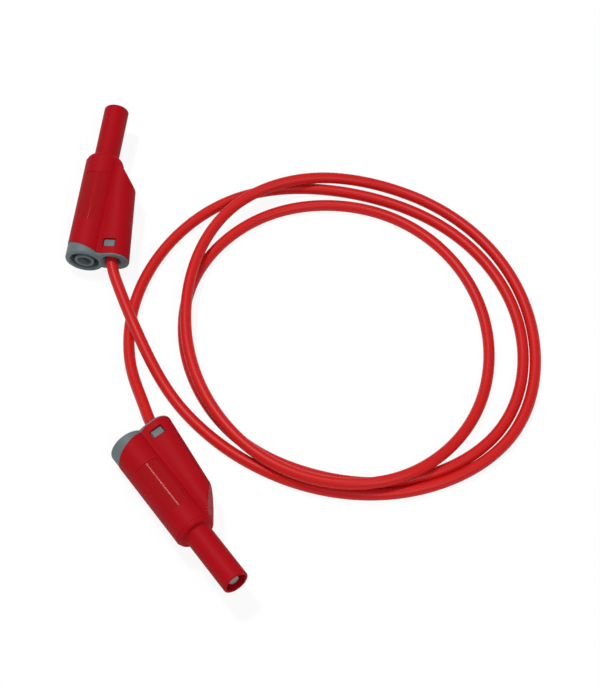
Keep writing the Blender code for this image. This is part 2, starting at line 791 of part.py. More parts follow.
def make_cord(mat):
    """The cord as a round tube along its route, nowhere below the floor."""
    route = natural_spline(CORD_ROUTE, CORD_STEP)
    route[:, 2] = np.maximum(route[:, 2], CORD_RADIUS)
    data = bpy.data.curves.new("cord", "CURVE")
    data.dimensions = "3D"
    data.bevel_depth = CORD_RADIUS
    data.bevel_resolution = 2
    data.use_fill_caps = True
    spline = data.splines.new("POLY")
    spline.points.add(len(route) - 1)
    for point, place in zip(spline.points, route):
        point.co = (*place, 1.0)
    data.materials.append(mat)
    cord = bpy.data.objects.new("cord", data)
    bpy.context.scene.collection.objects.link(cord)
    return cord


def place_plug(label, mouth, heading, roll, pitch, pieces):
    """Lay one plug on the floor on the rim of its rear cap, with its mouth lifted by the pitch."""
    rim = (PLUG_LENGTH - CAP_EDGE, CAP_RADIUS - CAP_EDGE)
    height = rim[0] * math.sin(pitch) + rim[1] * math.cos(pitch) + CAP_EDGE
    frame = bpy.data.objects.new(f"{label}_frame", None)
    frame.location = Vector((mouth[0], mouth[1], max(height, BARREL_RADIUS)))
    frame.rotation_euler = Euler((roll, pitch, heading))
    bpy.context.scene.collection.objects.link(frame)
    for name, (mesh, mat) in pieces.items():
        obj = bpy.data.objects.new(f"{label}_{name}", mesh)
        obj.parent = frame
        if not mesh.materials:
            mesh.materials.append(mat)
        bpy.context.scene.collection.objects.link(obj)


def shade(mesh):
    """Smooth shading with the real edges kept sharp."""
    mesh.shade_smooth()
    mesh.set_sharp_from_angle(angle=math.radians(30))


def main():
    """Build the two plugs and the cord between them."""
    clear_scene()
    red = make_material("red_housing_plastic", (172, 16, 26), 0.45)
    grey = make_material("grey_cap_plastic", (124, 134, 134), 0.5)
    nickel = make_material("nickel_plated_brass", (196, 192, 180), 0.25, 1.0)
    brass = make_material("tinned_brass", (186, 178, 150), 0.35, 1.0)
    copper = make_material("bare_copper", (200, 120, 80), 0.35, 1.0)
    jacket = make_material("red_cord_jacket", (212, 34, 28), 0.3)
    pieces = {
        "housing": (make_housing(), red),
        "rear_cap": (make_rear_cap(), grey),
        "contact_pin": (make_contact_pin(), nickel),
        "lamella_cage": (make_lamella_cage(), nickel),
        "socket_contact": (make_socket_contact(), nickel),
        "terminal_strap": (make_terminal_strap(), brass),
        "conductor_end": (make_conductor_end(), copper),
        "strain_relief_ring": (make_strain_relief_ring(), brass),
    }
    for mesh, _ in pieces.values():
        shade(mesh)
    place_plug("plug_a", PLUG_A_MOUTH, PLUG_A_HEADING, PLUG_A_ROLL, PLUG_A_PITCH, pieces)
    place_plug("plug_b", PLUG_B_MOUTH, PLUG_B_HEADING, PLUG_B_ROLL, PLUG_B_PITCH, pieces)
    make_cord(jacket)


main()
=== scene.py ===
"""Looks of a red test lead: a flexible cord with a stacking safety plug moulded on each end.

Each plug is modelled once in its own frame, in metres: x runs from the mouth of its sleeve to its rear face,
y points from the barrel to the cord's lobe, and z is square to both. The finished meshes are then laid where
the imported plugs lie.
"""

import json
import logging
import math
from dataclasses import dataclass
from enum import Enum
from typing import Iterable, Sequence

import bmesh
import bpy
import numpy as np
from mathutils import Euler, Matrix, Vector


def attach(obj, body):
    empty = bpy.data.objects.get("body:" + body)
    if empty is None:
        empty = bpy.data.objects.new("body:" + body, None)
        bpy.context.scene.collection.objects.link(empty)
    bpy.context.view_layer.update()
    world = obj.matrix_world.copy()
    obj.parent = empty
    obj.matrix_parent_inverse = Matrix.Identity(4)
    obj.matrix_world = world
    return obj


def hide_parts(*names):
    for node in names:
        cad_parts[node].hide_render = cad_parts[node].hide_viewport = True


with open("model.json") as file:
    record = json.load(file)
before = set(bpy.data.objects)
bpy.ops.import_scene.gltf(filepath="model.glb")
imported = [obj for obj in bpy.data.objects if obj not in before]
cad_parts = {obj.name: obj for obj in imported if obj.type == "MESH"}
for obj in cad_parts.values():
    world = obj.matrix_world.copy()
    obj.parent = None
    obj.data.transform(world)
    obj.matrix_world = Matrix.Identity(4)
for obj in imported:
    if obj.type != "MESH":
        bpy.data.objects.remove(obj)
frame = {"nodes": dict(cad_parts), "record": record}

LOG = logging.getLogger("test_lead")
MM = 0.001
# Points nearer than this are one point
WELD = 1e-6
# The cord's half thickness, which the lobe's bore is cut for
CORD_RADIUS = 1.82 * MM
# Faces that meet at less than this are shaded as one smooth surface
SMOOTH_LIMIT = math.radians(32)
WHITE = (1.0, 1.0, 1.0, 1.0)

Point = tuple[float, float]
Point3 = tuple[float, float, float]


class Operation(Enum):
    """What a Boolean does with its tool."""

    JOIN = "UNION"
    CUT = "DIFFERENCE"
    KEEP_COMMON = "INTERSECT"


def srgb(code: str) -> tuple[float, float, float, float]:
    """Turn an sRGB hex value into linear light.

    Args:
        code: Six hex digits, such as "b0121d".

    Returns:
        Red, green, blue and an alpha of 1.
    """
    channels = []
    for start in (0, 2, 4):
        value = int(code[start:start + 2], 16) / 255.0
        channels.append(value / 12.92 if value <= 0.04045 else ((value + 0.055) / 1.055) ** 2.4)
    return (*channels, 1.0)


def add_node(tree: bpy.types.NodeTree, kind: str, settings: dict | None = None,
             inputs: dict | None = None) -> bpy.types.Node:
    """Add a node with its settings and links.

    Args:
        tree: The material's or world's node tree.
        kind: The node's type name.
        settings: Property names and values.
        inputs: Input names or numbers, each with a value or with the socket that feeds it.

    Returns:
        The new node.
    """
    node = tree.nodes.new(kind)
    for key, value in (settings or {}).items():
        setattr(node, key, value)
    for key, value in (inputs or {}).items():
        if isinstance(value, bpy.types.NodeSocket):
            tree.links.new(value, node.inputs[key])
        else:
            node.inputs[key].default_value = value
    return node


def new_material(name: str) -> tuple[bpy.types.Material, bpy.types.NodeTree]:
    """Make a material with an empty node tree."""
    material = bpy.data.materials.new(name)
    material.use_nodes = True
    material.node_tree.nodes.clear()
    return material, material.node_tree


def noise(tree: bpy.types.NodeTree, size: float, detail: float = 2.0,
          roughness: float = 0.5) -> bpy.types.NodeSocket:
    """Add noise on the piece's own coordinates, with grains of a size in metres."""
    place = add_node(tree, "ShaderNodeTexCoord").outputs["Object"]
    return add_node(tree, "ShaderNodeTexNoise", inputs={
        "Vector": place, "Scale": 1 / size, "Detail": detail, "Roughness": roughness,
    }).outputs["Fac"]


def tint(tree: bpy.types.NodeTree, share: bpy.types.NodeSocket, shade: str,
         colour: str) -> bpy.types.NodeSocket:
    """Mix two close colours by a share that varies over the surface."""
    return add_node(tree, "ShaderNodeMix", {"data_type": "RGBA"}, {
        "Factor": share, 6: srgb(shade), 7: srgb(colour),
    }).outputs[2]


def spread(tree: bpy.types.NodeTree, share: bpy.types.NodeSocket, low: float,
           high: float) -> bpy.types.NodeSocket:
    """Spread a share between two values."""
    return add_node(tree, "ShaderNodeMapRange", inputs={
        "Value": share, "To Min": low, "To Max": high,
    }).outputs["Result"]


def bump(tree: bpy.types.NodeTree, height: bpy.types.NodeSocket, depth: float) -> bpy.types.NodeSocket:
    """Roughen the surface by a height that varies over it, to a depth in metres."""
    return add_node(tree, "ShaderNodeBump", inputs={
        "Height": height, "Strength": 1.0, "Distance": depth,
    }).outputs["Normal"]


def cover(tree: bpy.types.NodeTree, finish: dict) -> None:
    """End a material in a principled surface with the given inputs."""
    surface = add_node(tree, "ShaderNodeBsdfPrincipled", inputs=finish)
    add_node(tree, "ShaderNodeOutputMaterial", inputs={"Surface": surface.outputs["BSDF"]})


@dataclass(frozen=True)
class MouldedPlastic:
    """Polyamide from a steel mould: its grain is what the spark-eroded or polished steel left."""

    name: str
    colour: str
    shade: str
    roughness: float
    grain_mm: float
    grain_depth_mm: float
    specular: float
    gloss_spread: float = 0.05
    cloud_mm: float = 9.0
    ior: float = 1.52

    def build(self) -> bpy.types.Material:
        """Build the plastic: a faint cloudiness of the pigment and a fine even grain."""
        material, tree = new_material(self.name)
        cloud = noise(tree, self.cloud_mm * MM)
        grain = noise(tree, self.grain_mm * MM, roughness=0.6)
        glossiest = self.roughness - self.gloss_spread
        dullest = self.roughness + self.gloss_spread
        cover(tree, {
            "Base Color": tint(tree, cloud, self.shade, self.colour),
            "Roughness": spread(tree, grain, glossiest, dullest),
            "Normal": bump(tree, grain, self.grain_depth_mm * MM),
            "Specular IOR Level": self.specular, "IOR": self.ior,
        })
        return material


@dataclass(frozen=True)
class ExtrudedJacket:
    """Silicone rubber drawn over the strands: glossier than the housings, with slow changes of gloss."""

    name: str
    colour: str
    shade: str
    roughness: float
    specular: float
    gloss_spread: float = 0.04
    patch_mm: float = 14.0
    bloom_mm: float = 0.35
    bloom_depth_mm: float = 0.004
    ior: float = 1.45

    def build(self) -> bpy.types.Material:
        """Build the jacket: an even colour under a very fine dusty bloom."""
        material, tree = new_material(self.name)
        slow = noise(tree, self.patch_mm * MM)
        fine = noise(tree, self.bloom_mm * MM, detail=3.0)
        glossiest = self.roughness - self.gloss_spread
        dullest = self.roughness + self.gloss_spread
        cover(tree, {
            "Base Color": tint(tree, slow, self.shade, self.colour),
            "Roughness": spread(tree, slow, glossiest, dullest),
            "Normal": bump(tree, fine, self.bloom_depth_mm * MM),
            "Specular IOR Level": self.specular, "IOR": self.ior,
        })
        return material


@dataclass(frozen=True)
class PlatedMetal:
    """Brass or copper stock, plated or bare: fine tool marks under a thin bright coat."""

    name: str
    colour: str
    shade: str
    roughness: float
    mark_mm: float
    polish: float = 0.06
    wear: float = 0.08

    def build(self) -> bpy.types.Material:
        """Build the metal: small changes of tint and gloss from handling and the tool."""
        material, tree = new_material(self.name)
        marks = noise(tree, self.mark_mm * MM, detail=3.0, roughness=0.6)
        cover(tree, {
            "Base Color": tint(tree, marks, self.shade, self.colour),
            "Roughness": spread(tree, marks, self.roughness - self.polish, self.roughness + self.wear),
            "Metallic": 1.0,
        })
        return material


@dataclass(frozen=True)
class StudioPaper:
    """White seamless paper: it reads as white to the camera and still takes a soft shadow."""

    name: str
    glow: float
    mirrored_glow: float
    seen_paper: float
    paper: float

    def build(self) -> bpy.types.Material:
        """Build the paper, which glows a little to the camera and to glossy surfaces."""
        material, tree = new_material(self.name)
        path = add_node(tree, "ShaderNodeLightPath")
        indirect = add_node(tree, "ShaderNodeMath", {"operation": "MAXIMUM"}, {
            0: path.outputs["Is Glossy Ray"], 1: path.outputs["Is Transmission Ray"],
        })
        mirrored = add_node(tree, "ShaderNodeMath", {"operation": "MULTIPLY"}, {
            0: indirect.outputs[0], 1: self.mirrored_glow,
        })
        strength = add_node(tree, "ShaderNodeMath", {"operation": "MULTIPLY_ADD"}, {
            0: path.outputs["Is Camera Ray"], 1: self.glow, 2: mirrored.outputs[0],
        })
        white = add_node(tree, "ShaderNodeMix", {"data_type": "RGBA"}, {
            "Factor": path.outputs["Is Camera Ray"],
            6: (self.paper, self.paper, self.paper, 1.0),
            7: (self.seen_paper, self.seen_paper, self.seen_paper, 1.0),
        })
        glow = add_node(tree, "ShaderNodeEmission", inputs={
            "Color": WHITE, "Strength": strength.outputs[0],
        })
        paper = add_node(tree, "ShaderNodeBsdfDiffuse", inputs={"Color": white.outputs[2]})
        both = add_node(tree, "ShaderNodeAddShader", inputs={0: glow.outputs[0], 1: paper.outputs[0]})
        add_node(tree, "ShaderNodeOutputMaterial", inputs={"Surface": both.outputs[0]})
        return material


HOUSING_RED = MouldedPlastic(
    "spark_eroded_red_polyamide", colour="b00a18", shade="a80815",
    roughness=0.55, grain_mm=0.16, grain_depth_mm=0.012, specular=0.08,
).build()
PANEL_RED = MouldedPlastic(
    "polished_red_polyamide", colour="a8030d", shade="a2030c",
    roughness=0.10, grain_mm=0.9, grain_depth_mm=0.002, specular=0.45,
).build()
CAP_GREY = MouldedPlastic(
    "matt_grey_polyamide", colour="6c787b", shade="647174",
    roughness=0.5, grain_mm=0.16, grain_depth_mm=0.010, specular=0.3,
).build()
CORD_JACKET = ExtrudedJacket(
    "red_silicone_jacket", colour="d41a18", shade="c81617", roughness=0.42, specular=0.3,
).build()
# Nickel plating on the pin, cage and socket. Its colour and shade are darker than plated nickel, as painted
# shade for the pin's end deep in the sleeve
NICKEL_WITH_PAINTED_SHADE = PlatedMetal(
    "nickel_plated_turned_brass_with_painted_shade", colour="8f897c", shade="746f64", roughness=0.3, mark_mm=0.5,
).build()
TINNED = PlatedMetal(
    "tinned_stamped_brass", colour="c0b99b", shade="a49d80", roughness=0.4, mark_mm=0.6,
).build()
COPPER = PlatedMetal(
    "bare_copper_strands", colour="c8784f", shade="a85f3c", roughness=0.36, mark_mm=0.4,
).build()
PAPER = StudioPaper(
    "white_studio_paper", glow=0.90, mirrored_glow=0.15, seen_paper=0.11, paper=0.8,
).build()


def arc(centre: Point, radius: float, start: float, end: float, steps: int) -> list[Point]:
    """Points along an arc.

    Args:
        centre: The arc's centre.
        radius: Its radius.
        start: The first angle, in degrees.
        end: The last angle, in degrees.
        steps: How many chords it has.

    Returns:
        The points, ends included.
    """
    angles = np.radians(np.linspace(start, end, steps + 1))
    return [(centre[0] + radius * math.cos(t), centre[1] + radius * math.sin(t)) for t in angles]


def turned(profile: Sequence[Point], steps: int, beside: float = 0.0) -> bmesh.types.BMesh:
    """Spin a closed profile about the plug's axis.

    Args:
        profile: Points of (distance along the plug, radius).
        steps: Facets round the full turn.
        beside: How far the axis stands to the side of the plug's axis.

    Returns:
        The turned shape, its faces pointing out.
    """
    bm = bmesh.new()
    verts = [bm.verts.new((x, 0.0, radius)) for x, radius in profile]
    edges = [
        bm.edges.new((near, far))
        for near, far in zip(verts, verts[1:] + verts[:1])
        if near.co.z or far.co.z
    ]
    bmesh.ops.spin(bm, geom=verts + edges, cent=(0, 0, 0), axis=(1, 0, 0), angle=2 * math.pi,
                   steps=steps, use_merge=True)
    bmesh.ops.remove_doubles(bm, verts=bm.verts, dist=WELD)
    bmesh.ops.translate(bm, verts=bm.verts, vec=(0.0, beside, 0.0))
    bmesh.ops.recalc_face_normals(bm, faces=bm.faces)
    return bm


def extruded(outline: Sequence[Point], low: float, high: float) -> bmesh.types.BMesh:
    """Extrude an outline of (x, y) points between two heights."""
    bm = bmesh.new()
    face = bm.faces.new([bm.verts.new((x, y, low)) for x, y in outline])
    lifted = bmesh.ops.extrude_face_region(bm, geom=[face])["geom"]
    top = [item for item in lifted if isinstance(item, bmesh.types.BMVert)]
    bmesh.ops.translate(bm, verts=top, vec=(0.0, 0.0, high - low))
    bmesh.ops.recalc_face_normals(bm, faces=bm.faces)
    return bm


def block(low: Point3, high: Point3, edge: float = 0.0) -> bmesh.types.BMesh:
    """Make a block between two corners, with its edges rounded where an edge radius is given."""
    bm = bmesh.new()
    bmesh.ops.create_cube(bm, size=1.0)
    size = Vector(high) - Vector(low)
    middle = (Vector(high) + Vector(low)) / 2
    bmesh.ops.scale(bm, verts=bm.verts, vec=size)
    bmesh.ops.translate(bm, verts=bm.verts, vec=middle)
    if edge:
        bmesh.ops.bevel(bm, geom=bm.edges[:], offset=edge, affect="EDGES", segments=3, profile=0.5,
                        material=-1)
    return bm


def put(name: str, bm: bmesh.types.BMesh) -> bpy.types.Object:
    """Store a bmesh as an object in the scene."""
    mesh = bpy.data.meshes.new(name)
    bm.to_mesh(mesh)
    bm.free()
    obj = bpy.data.objects.new(name, mesh)
    bpy.context.scene.collection.objects.link(obj)
    return obj


def combine(body: bpy.types.Object, tool: bmesh.types.BMesh, operation: Operation) -> None:
    """Change a body by an exact Boolean with a tool, which is then thrown away."""
    other = put("tool", tool)
    modifier = body.modifiers.new("combine", "BOOLEAN")
    modifier.operation = operation.value
    modifier.solver = "EXACT"
    modifier.object = other
    graph = bpy.context.evaluated_depsgraph_get()
    mesh = bpy.data.meshes.new_from_object(body.evaluated_get(graph))
    body.modifiers.clear()
    body.data = mesh
    bpy.data.objects.remove(other, do_unlink=True)
    bm = bmesh.new()
    bm.from_mesh(mesh)
    bmesh.ops.remove_doubles(bm, verts=bm.verts, dist=WELD)
    bmesh.ops.dissolve_degenerate(bm, edges=bm.edges, dist=WELD)
    bm.to_mesh(mesh)
    bm.free()


def smooth_max(first: float, second: float, blend: float) -> float:
    """The larger of two values, with a fillet of about the blend's width where they cross."""
    near = max(blend - abs(first - second), 0.0) / blend
    return max(first, second) + near * near * blend / 4


def smooth_min(first: float, second: float, blend: float) -> float:
    """The smaller of two values, rounded where they cross."""
    return -smooth_max(-first, -second, blend)


@dataclass
class PlugPlace:
    """Where one plug lies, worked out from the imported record's mounts."""

    label: str
    mouth: Vector
    along: Vector
    to_lobe: Vector

    @classmethod
    def from_record(cls, label: str, lobe_turn: float, lobe_lift: float, ring_radius: float) -> "PlugPlace":
        """Read a plug's place.

        Args:
            label: The plug's name in the record.
            lobe_turn: 1 where the lobe is a left turn from the plug's axis, and -1 where it is a right turn.
            lobe_lift: How far the lobe is rolled up from level, in degrees.
            ring_radius: How far the mount on the sleeve's rim stands from the axis.

        Returns:
            The plug's place.
        """
        mounts = {mount["name"]: mount for mount in frame["record"]["mounts"]}
        along = Vector(mounts[f"{label}_socket_face"]["axis"]).normalized()
        left = Vector((-along.y, along.x, 0.0)).normalized()
        lift = math.radians(lobe_lift)
        to_lobe = left * lobe_turn * math.cos(lift) + along.cross(left) * math.sin(lift)
        mouth = Vector(mounts[f"{label}_sleeve_mouth"]["pos_m"]) + to_lobe * ring_radius
        return cls(label, mouth, along, to_lobe)

    def matrix(self) -> Matrix:
        """The turn and shift from the plug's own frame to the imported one."""
        up = self.along.cross(self.to_lobe)
        turn = Matrix((self.along, self.to_lobe, up)).transposed().to_4x4()
        return Matrix.Translation(self.mouth) @ turn


@dataclass
class Plug:
    """One stacking safety plug: red housing, grey rear cap, pin with its cage, and socket."""

    length: float = 59.0 * MM
    gap: float = 0.3 * MM
    over: float = 0.6 * MM
    seam: float = 0.07 * MM
    skin_facets: int = 216
    bore_facets: int = 96
    edge_chords: int = 8
    shoulder_chords: int = 14
    crown_chords: int = 12
    lobe_chords: int = 32
    panel_chords: int = 24
    cap_chords: int = 10
    cap_stations: int = 12
    nose_chords: int = 10
    bell_chords: int = 16
    cage_chords: int = 24
    fine_station: float = 0.2 * MM
    coarse_station: float = 0.8 * MM
    station_margin: float = 2.0 * MM

    sleeve_length: float = 20.2 * MM
    sleeve_radius: float = 4.1 * MM
    sleeve_bore: float = 3.25 * MM
    sleeve_rim: float = 0.4 * MM
    sleeve_lead: float = 0.2 * MM
    rim_mount_inset: float = 0.125 * MM
    neck_fillet: float = 0.6 * MM
    barrel_radius: float = 6.35 * MM
    shoulder_radius: float = 1.4 * MM
    shoulder_step: float = 0.25 * MM
    step_run: float = 0.03 * MM
    step_rise: float = 0.1 * MM

    lobe_half_height: float = 4.85 * MM
    valley_height: float = 4.0 * MM
    reach_front: float = 12.2 * MM
    reach_rear: float = 15.0 * MM
    ramp_length: float = 11.1 * MM
    ramp_angle: float = math.radians(34.7)
    ramp_blend: float = 0.45 * MM
    valley_blend: float = 0.22 * MM
    lobe_wall: float = 1.1 * MM

    panel_start: float = 8.1 * MM
    panel_length: float = 18.1 * MM
    panel_width: float = 6.9 * MM
    panel_depth: float = 0.12 * MM
    panel_paint_reach: float = 0.05 * MM

    pin_web: float = 2.5 * MM
    cavity_lead: float = 0.8 * MM
    cavity_radius: float = 5.45 * MM
    cavity_root: float = 3.0 * MM

    cap_lip: float = 0.6 * MM
    lobe_setback: float = 0.2 * MM
    parting_bend: float = 6.6 * MM
    parting_lean: float = math.radians(18.3)
    cap_radius: float = 6.25 * MM
    cap_edge: float = 0.6 * MM
    cap_lobe_edge: float = 0.4 * MM
    groove_spare: float = 0.5 * MM
    groove_radius: float = 4.7 * MM
    groove_floor: float = 1.0 * MM
    post_radius: float = 3.2 * MM
    post_bore: float = 2.25 * MM
    mouth_chamfer: float = 0.3 * MM
    block_length: float = 7.0 * MM
    block_root: float = 4.9 * MM
    cord_offset: float = 9.1 * MM
    cord_radius: float = CORD_RADIUS
    bell_radius: float = 3.5 * MM
    bell_length: float = 4.8 * MM

    window_length: float = 3.0 * MM
    window_width: float = 4.2 * MM
    window_from_rear: float = 3.2 * MM
    window_centre: float = 8.8 * MM
    tab_recess: float = 0.5 * MM
    tab_edge: float = 0.12 * MM

    pin_radius: float = 2.0 * MM
    pin_recess: float = 0.9 * MM
    pin_nose: float = 0.9 * MM
    flange_radius: float = 2.9 * MM
    flange_chamfer: float = 0.4 * MM
    stem_radius: float = 2.5 * MM
    stem_length: float = 1.2 * MM
    spigot_radius: float = 1.5 * MM
    spigot_length: float = 2.5 * MM
    waist_start: float = 6.0 * MM
    waist_length: float = 9.0 * MM
    waist_radius: float = 1.6 * MM
    cage_wall: float = 0.2 * MM
    cage_bulge: float = 0.2 * MM
    cage_band: float = 0.9 * MM
    cage_slot: float = 0.4 * MM
    cage_slot_pairs: int = 5

    strap_thickness: float = 0.8 * MM
    socket_bore: float = 2.0 * MM
    socket_wall: float = 0.4 * MM
    socket_spare: float = 1.0 * MM
    socket_floor: float = 1.2 * MM
    socket_setback: float = 3.0 * MM

    @property
    def rim_mount_radius(self) -> float:
        """How far the record's mount on the sleeve's rim stands from the axis."""
        return (self.sleeve_bore + self.sleeve_radius) / 2 - self.rim_mount_inset

    @property
    def ramp_end(self) -> float:
        """Where the lobe's oblique front face ends."""
        return self.sleeve_length + self.ramp_length

    @property
    def lobe_start(self) -> float:
        """Where the barrel's shoulder ends and the lobe may begin."""
        return self.sleeve_length + self.shoulder_radius + self.shoulder_step

    @property
    def lobe_rear(self) -> float:
        """The lobe's rear face."""
        return self.length - self.lobe_setback

    @property
    def groove_front(self) -> float:
        """The floor of the groove that takes another plug's sleeve."""
        return self.length - self.sleeve_length - self.groove_spare

    @property
    def socket_bore_front(self) -> float:
        """The floor of the bore that takes another plug's pin."""
        return self.length - self.sleeve_length - self.socket_spare

    @property
    def spigot_front(self) -> float:
        """Where the pin's stem ends and its spigot begins."""
        return self.socket_bore_front - self.socket_floor - self.gap - self.spigot_length

    @property
    def cavity(self) -> float:
        """Where the housing's cavity begins."""
        return self.spigot_front - self.stem_length - self.cavity_lead

    @property
    def parting(self) -> float:
        """Where the red housing ends along the lobe."""
        return self.lobe_rear - self.cap_lip

    @property
    def parting_front(self) -> float:
        """Where the joint between housing and rear cap is farthest forward, past the barrel's far side."""
        leaning = self.parting_bend + self.barrel_radius + self.over
        return self.parting - leaning * math.tan(self.parting_lean)

    def reach(self, x: float) -> float:
        """How far the lobe reaches from the axis at a place along the plug."""
        share = max(x - self.ramp_end, 0.0) / (self.lobe_rear - self.ramp_end)
        return self.reach_front + (self.reach_rear - self.reach_front) * share

    def lobe_radius(self, x: float, angle: float, inset: float) -> float:
        """Distance from the axis to the lobe's surface.

        Args:
            x: The place along the plug.
            angle: The direction from the axis, 0 toward the lobe's outer side.
            inset: How far inside the lobe's surface to measure.

        Returns:
            The distance, rounded where the oblique front face meets the lobe.
        """
        half = self.lobe_half_height - inset
        apex = self.reach(x) - inset - half
        across, up = math.cos(angle), abs(math.sin(angle))
        if across <= 0.0:
            return 0.0
        if half * across <= apex * up:
            crown = self.crown_radius(apex, inset)
            centre = half - crown
            beside = apex * across + centre * up
            on_skin = beside + math.sqrt(max(beside ** 2 + crown ** 2 - apex ** 2 - centre ** 2, 0.0))
        else:
            on_skin = apex * across + math.sqrt(max(half ** 2 - (apex * up) ** 2, 0.0))
        return self.cut_by_ramp(x, on_skin, across)

    def crown_radius(self, apex: float, inset: float) -> float:
        """Radius of the lobe's crown, which rises from the valley beside the barrel to its highest line."""
        low = self.valley_height - inset
        valley = math.sqrt((self.barrel_radius - inset) ** 2 - low ** 2)
        rise = self.lobe_half_height - self.valley_height
        return ((apex - valley) ** 2 + rise ** 2) / (2 * rise)

    def cut_by_ramp(self, x: float, distance: float, across: float) -> float:
        """Shorten a distance from the axis to the lobe's oblique front face, if that comes first."""
        ramp = self.reach_front - (self.ramp_end - x) * math.tan(self.ramp_angle)
        if ramp <= 0.0:
            return 0.0
        return smooth_min(distance, ramp / across, self.ramp_blend)

    def swell_into_lobe(self, bm: bmesh.types.BMesh, start: float, inset: float) -> None:
        """Push a turned barrel's skin out to the lobe, with a small fillet along the valley.

        Args:
            bm: The barrel.
            start: Where the lobe may begin.
            inset: How far inside the lobe's surface the skin is to lie.
        """
        for vert in bm.verts:
            x, y, z = vert.co
            radius = math.hypot(y, z)
            if x < start or radius < self.barrel_radius / 2:
                continue
            angle = math.atan2(z, y)
            lobe = self.lobe_radius(x, angle, inset)
            if lobe > radius - self.valley_blend:
                scale = smooth_max(radius, lobe, self.valley_blend) / radius
                vert.co = (x, y * scale, z * scale)

    def stations(self, start: float, end: float) -> list[float]:
        """Places along the skin, close together where the oblique face begins and ends."""
        ramp_from = self.lobe_start
        ramp_to = self.ramp_end + self.station_margin
        marks = list(np.arange(max(start, ramp_from), min(ramp_to, end), self.fine_station))
        marks += list(np.arange(max(start, ramp_to), end, self.coarse_station))
        return [float(mark) for mark in marks]

    def housing_skin(self) -> bmesh.types.BMesh:
        """Outer skin of the housing: sleeve, collar and barrel, swollen into the lobe."""
        step = self.barrel_radius - self.shoulder_step
        rim = (self.sleeve_rim, self.sleeve_radius - self.sleeve_rim)
        neck = (self.sleeve_length - self.neck_fillet, self.sleeve_radius + self.neck_fillet)
        shoulder = (self.sleeve_length + self.shoulder_radius, step - self.shoulder_radius)
        end = self.length + self.over
        profile = [(0.0, 0.0)]
        profile += arc(rim, self.sleeve_rim, 180, 90, self.edge_chords)
        profile += arc(neck, self.neck_fillet, 270, 360, self.edge_chords)
        profile += arc(shoulder, self.shoulder_radius, 180, 90, self.shoulder_chords)
        profile += [(shoulder[0] + self.step_run, step + self.step_rise)]
        profile += [(x, self.barrel_radius) for x in self.stations(self.lobe_start, end)]
        profile += [(end, self.barrel_radius), (end, 0.0)]
        bm = turned(profile, self.skin_facets)
        self.swell_into_lobe(bm, self.lobe_start, 0.0)
        return bm

    def behind_parting(self, clearance: float) -> bmesh.types.BMesh:
        """All that lies behind the joint between housing and rear cap, which leans over the barrel."""
        side = self.barrel_radius + self.over
        reach = self.reach_rear + self.over
        rear = self.length + 2 * self.over
        flat = self.parting + clearance
        bend = self.parting_bend - clearance * math.tan(self.parting_lean / 2)
        front = self.parting_front + clearance / math.cos(self.parting_lean)
        outline = [(front, -side), (flat, bend), (flat, reach), (rear, reach), (rear, -side)]
        return extruded(outline, -side, side)

    def panel_cutter(self, side: int) -> bmesh.types.BMesh:
        """Shallow pocket over the barrel with a curved floor, above for 1 and below for -1."""
        start = self.sleeve_length + self.panel_start
        end = start + self.panel_length
        floor = self.barrel_radius - self.panel_depth
        top = self.barrel_radius + self.over
        middle = 90.0 * side
        half_turn = math.degrees(math.asin(self.panel_width / 2 / self.barrel_radius))
        near, far = middle - half_turn, middle + half_turn
        outline = arc((0, 0), floor, near, far, self.panel_chords)
        outline += arc((0, 0), top, far, near, self.panel_chords)
        bm = extruded(outline, start, end)
        # Turns x, y and z of the outline into y, z and x of the plug
        upright = Matrix(((0, 0, 1, 0), (1, 0, 0, 0), (0, 1, 0, 0), (0, 0, 0, 1)))
        bmesh.ops.transform(bm, matrix=upright, verts=bm.verts)
        bmesh.ops.recalc_face_normals(bm, faces=bm.faces)
        return bm

    def housing_bore(self) -> bmesh.types.BMesh:
        """Sleeve bore, pin bore, flange seat and the cavity behind them."""
        pin = self.pin_radius + self.gap
        seat = self.flange_radius + self.gap
        flange = self.sleeve_length + self.pin_web - self.gap
        cavity = self.cavity
        rear = self.length + 2 * self.over
        profile = [(-self.over, 0.0), (-self.over, self.sleeve_bore + self.over)]
        profile += [(self.sleeve_lead, self.sleeve_bore), (self.sleeve_length, self.sleeve_bore)]
        profile += [(self.sleeve_length, pin), (flange, pin), (flange, seat), (cavity, seat)]
        profile += [(cavity, self.cavity_radius), (rear, self.cavity_radius), (rear, 0.0)]
        return turned(profile, self.bore_facets)

    def lobe_block(self, start: float, end: float, inset: float, root: float) -> bmesh.types.BMesh:
        """Make a tapered block inside the lobe, crowned above and below and round outside.

        Args:
            start: Where it begins along the plug.
            end: Where it ends.
            inset: How far inside the lobe's surface it stays.
            root: How far from the plug's axis its inner side lies.

        Returns:
            The block.
        """
        half = self.lobe_half_height - inset

        def outline(x: float) -> list[Point]:
            """The block's outline across the plug."""
            apex = self.reach(x) - inset - half
            crown = self.crown_radius(apex, inset)
            sweep = math.degrees(math.asin((apex - root) / crown))
            upper = arc((apex, half - crown), crown, 90 + sweep, 90, self.crown_chords)[:-1]
            lower = [(y, -z) for y, z in reversed(upper)]
            return upper + arc((apex, 0.0), half, 90, -90, self.lobe_chords) + lower

        bm = bmesh.new()
        near, far = ([bm.verts.new((x, y, z)) for y, z in outline(x)] for x in (start, end))
        bm.faces.new(near)
        bm.faces.new(far)
        for i in range(len(near)):
            j = (i + 1) % len(near)
            bm.faces.new((near[i], near[j], far[j], far[i]))
        bmesh.ops.recalc_face_normals(bm, faces=bm.faces)
        return bm

